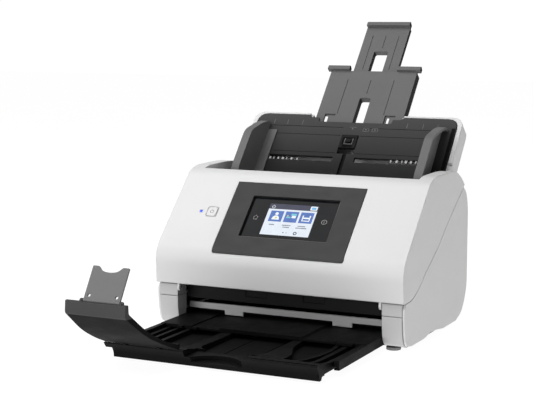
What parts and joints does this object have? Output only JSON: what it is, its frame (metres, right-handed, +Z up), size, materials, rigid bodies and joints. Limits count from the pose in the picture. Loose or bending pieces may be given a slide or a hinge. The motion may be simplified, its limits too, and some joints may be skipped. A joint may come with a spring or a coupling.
{
  "type": "sheet fed document scanner",
  "caption": "Desktop document scanner with a sloped touch panel, a tilted sheet input tray with edge guides and a pull-out output tray with a flap and stopper.",
  "frame": {"origin": "centre of the bounding box of the set-up machine, on the desk", "axes": "+X to the right seen from the front, +Y to the back, +Z up; the sheets come out towards -Y"},
  "size_m": [0.296, 0.5654, 0.3441],
  "materials": {
    "white_plastic": "fine matt texture",
    "charcoal_plastic": "satin",
    "grey_plastic": "satin",
    "black_plastic": "satin",
    "inner_black": "matt",
    "rubber": "matt",
    "dark_glass": "glossy",
    "steel": "plain",
    "circuit_board": "satin",
    "blue_light": "lit lens"
  },
  "bodies": {
    "housing": {"base_pan": "inner_black", "left_side_panel": "white_plastic", "right_side_panel": "white_plastic", "left_front_column": "white_plastic", "right_front_column": "white_plastic", "left_hinge_block": "white_plastic", "right_hinge_block": "white_plastic", "left_cover_hinge_pin": "steel", "right_cover_hinge_pin": "steel", "rear_cover": "white_plastic", "housing_screw_1": "steel", "housing_screw_2": "steel", "rubber_foot_1": "rubber", "rubber_foot_2": "rubber", "rubber_foot_3": "rubber", "rubber_foot_4": "rubber", "exit_lip": "white_plastic", "lower_paper_guide": "inner_black", "lower_scan_glass": "dark_glass", "lower_sensor_bar": "black_plastic", "left_side_frame": "steel", "right_side_frame": "steel", "drive_motor": "steel", "drive_belt": "rubber", "main_board": "circuit_board", "dc_inlet": "inner_black", "usb_socket": "steel", "lan_socket": "steel", "input_tray_plate": "charcoal_plastic", "input_tray_shell": "white_plastic"},
    "cover": {"cover_shell": "white_plastic", "control_bezel": "charcoal_plastic", "touch_display": "dark_glass", "power_led": "blue_light", "upper_paper_guide": "inner_black", "upper_scan_glass": "dark_glass", "upper_sensor_bar": "black_plastic"},
    "power_key": {"power_button": "white_plastic"},
    "cover_release": {"cover_lever": "white_plastic"},
    "left_guide": {"left_edge_guide": "grey_plastic"},
    "right_guide": {"right_edge_guide": "grey_plastic"},
    "pinion": {"guide_pinion": "black_plastic"},
    "lock": {"guide_lock": "black_plastic"},
    "lower_input_extension": {"input_extension_1": "grey_plastic"},
    "upper_input_extension": {"input_extension_2": "grey_plastic"},
    "output_drawer": {"output_tray": "black_plastic"},
    "output_drawer_extension": {"output_extension": "black_plastic", "flap_hinge_pin": "steel"},
    "flap": {"output_flap": "grey_plastic", "stopper_hinge_pin": "steel"},
    "stopper": {"paper_stopper": "grey_plastic"},
    "feed_train": {"feed_shaft": "steel", "feed_roller": "rubber", "feed_pulley": "black_plastic"},
    "exit_train": {"exit_shaft": "steel", "exit_roller": "rubber", "exit_pulley": "black_plastic"},
    "motor_rotor": {"motor_pulley": "black_plastic"},
    "separation": {"separation_roller": "rubber"},
    "exit_pinch": {"exit_pinch_roller": "rubber"}
  },
  "joints": [
    {"name": "cover_hinge", "type": "hinge", "parent": "housing", "child": "cover", "pos_m": [0, -0.05347, 0.05], "axis": [1, 0, 0], "range_deg": [0, 55]},
    {"name": "power_press", "type": "slide", "parent": "cover", "child": "power_key", "axis": [0, 0.7071, -0.7071], "range_m": [0, 0.001], "stiffness_N_per_m": 1500},
    {"name": "lever_slide", "type": "slide", "parent": "cover", "child": "cover_release", "axis": [0, 1, 0], "range_m": [0, 0.005], "stiffness_N_per_m": 600},
    {"name": "left_guide_slide", "type": "slide", "parent": "housing", "child": "left_guide", "axis": [1, 0, 0], "range_m": [0, 0.082]},
    {"name": "right_guide_slide", "type": "slide", "parent": "housing", "child": "right_guide", "axis": [-1, 0, 0], "range_m": [0, 0.082]},
    {"name": "pinion_spin", "type": "hinge", "parent": "housing", "child": "pinion", "pos_m": [0, 0.1329, 0.1784], "axis": [0, 0.7547, -0.6561], "range_deg": [0, 785]},
    {"name": "lock_slide", "type": "slide", "parent": "housing", "child": "lock", "axis": [0, -0.6561, -0.7547], "range_m": [0, 0.006]},
    {"name": "lower_input_extension_slide", "type": "slide", "parent": "housing", "child": "lower_input_extension", "axis": [0, -0.6561, -0.7547], "range_m": [0, 0.07]},
    {"name": "upper_input_extension_slide", "type": "slide", "parent": "lower_input_extension", "child": "upper_input_extension", "axis": [0, -0.6561, -0.7547], "range_m": [0, 0.07]},
    {"name": "output_drawer_slide", "type": "slide", "parent": "housing", "child": "output_drawer", "axis": [0, -1, 0], "range_m": [-0.106, 0]},
    {"name": "output_extension_slide", "type": "slide", "parent": "output_drawer", "child": "output_drawer_extension", "axis": [0, -1, 0], "range_m": [-0.036, 0]},
    {"name": "flap_hinge", "type": "hinge", "parent": "output_drawer_extension", "child": "flap", "pos_m": [0, -0.20847, 0.0232], "axis": [-1, 0, 0], "range_deg": [0, 118]},
    {"name": "stopper_hinge", "type": "hinge", "parent": "flap", "child": "stopper", "pos_m": [0, -0.27747, 0.0775], "axis": [-1, 0, 0], "range_deg": [0, 90]},
    {"name": "feed_spin", "type": "hinge", "parent": "housing", "child": "feed_train", "pos_m": [0, 0.05783, 0.09456], "axis": [1, 0, 0], "continuous": true},
    {"name": "exit_spin", "type": "hinge", "parent": "housing", "child": "exit_train", "pos_m": [0, -0.01347, 0.03721], "axis": [1, 0, 0], "continuous": true},
    {"name": "motor_spin", "type": "hinge", "parent": "housing", "child": "motor_rotor", "pos_m": [0, 0.07003, 0.05], "axis": [1, 0, 0], "continuous": true},
    {"name": "separation_spin", "type": "hinge", "parent": "cover", "child": "separation", "pos_m": [0, 0.04601, 0.1086], "axis": [1, 0, 0], "continuous": true},
    {"name": "exit_pinch_spin", "type": "hinge", "parent": "cover", "child": "exit_pinch", "pos_m": [0, -0.0227, 0.0482], "axis": [1, 0, 0], "continuous": true}
  ],
  "couplings": [
    {"joint": "right_guide_slide", "follows": "left_guide_slide", "ratio": 1},
    {"joint": "pinion_spin", "follows": "left_guide_slide", "rad_per_m": 166.67},
    {"joint": "exit_spin", "follows": "feed_spin", "ratio": 1},
    {"joint": "motor_spin", "follows": "feed_spin", "ratio": 1}
  ]
}
